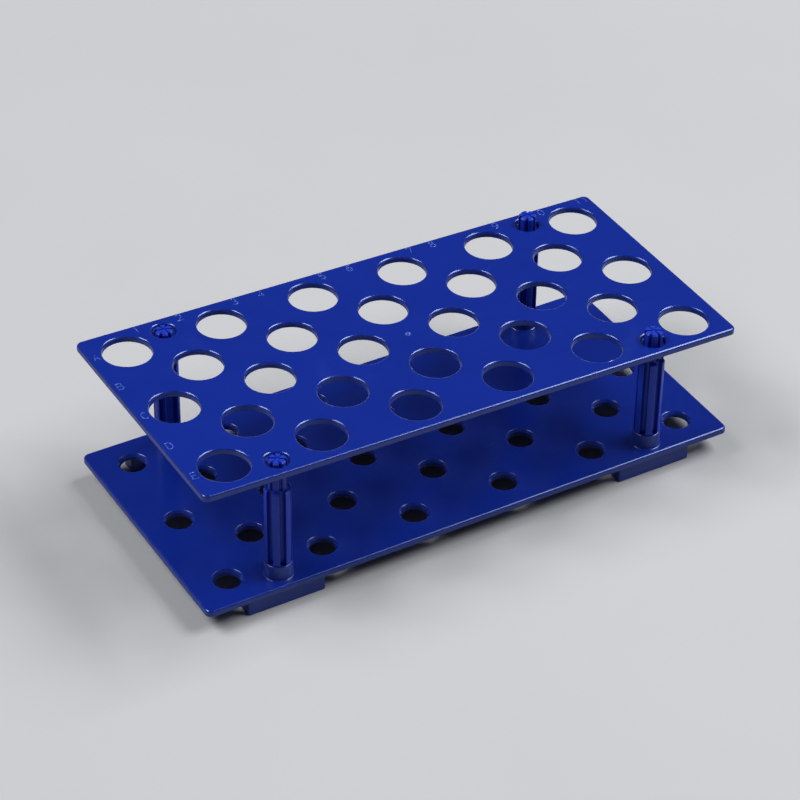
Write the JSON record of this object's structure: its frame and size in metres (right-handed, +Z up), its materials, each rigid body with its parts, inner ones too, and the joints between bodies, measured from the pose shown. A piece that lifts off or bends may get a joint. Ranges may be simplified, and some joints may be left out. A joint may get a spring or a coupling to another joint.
{
  "type": "test tube rack",
  "caption": "Two-tier moulded rack for large centrifuge tubes: holed top plate on fluted posts above a base plate with funnel holes and block feet.",
  "frame": {"origin": "on the surface the rack stands on, under the middle of the base plate", "axes": "+X along the plates, left to right seen from the front; +Y to the back; +Z up"},
  "size_m": [0.353, 0.165, 0.0974],
  "materials": {
    "plate_plastic": "satin-gloss moulded polypropylene, blue",
    "post_plastic": "satin-gloss moulded polypropylene, blue"
  },
  "bodies": {
    "base": {"base_plate": "plate_plastic", "post_front_left": "post_plastic", "post_front_right": "post_plastic", "post_back_left": "post_plastic", "post_back_right": "post_plastic"},
    "top": {"top_plate": "plate_plastic"}
  },
  "joints": [
    {"name": "top_plate_lift", "type": "slide", "parent": "base", "child": "top", "axis": [0, 0, 1], "range_m": [-0.005, 0.03]}
  ]
}
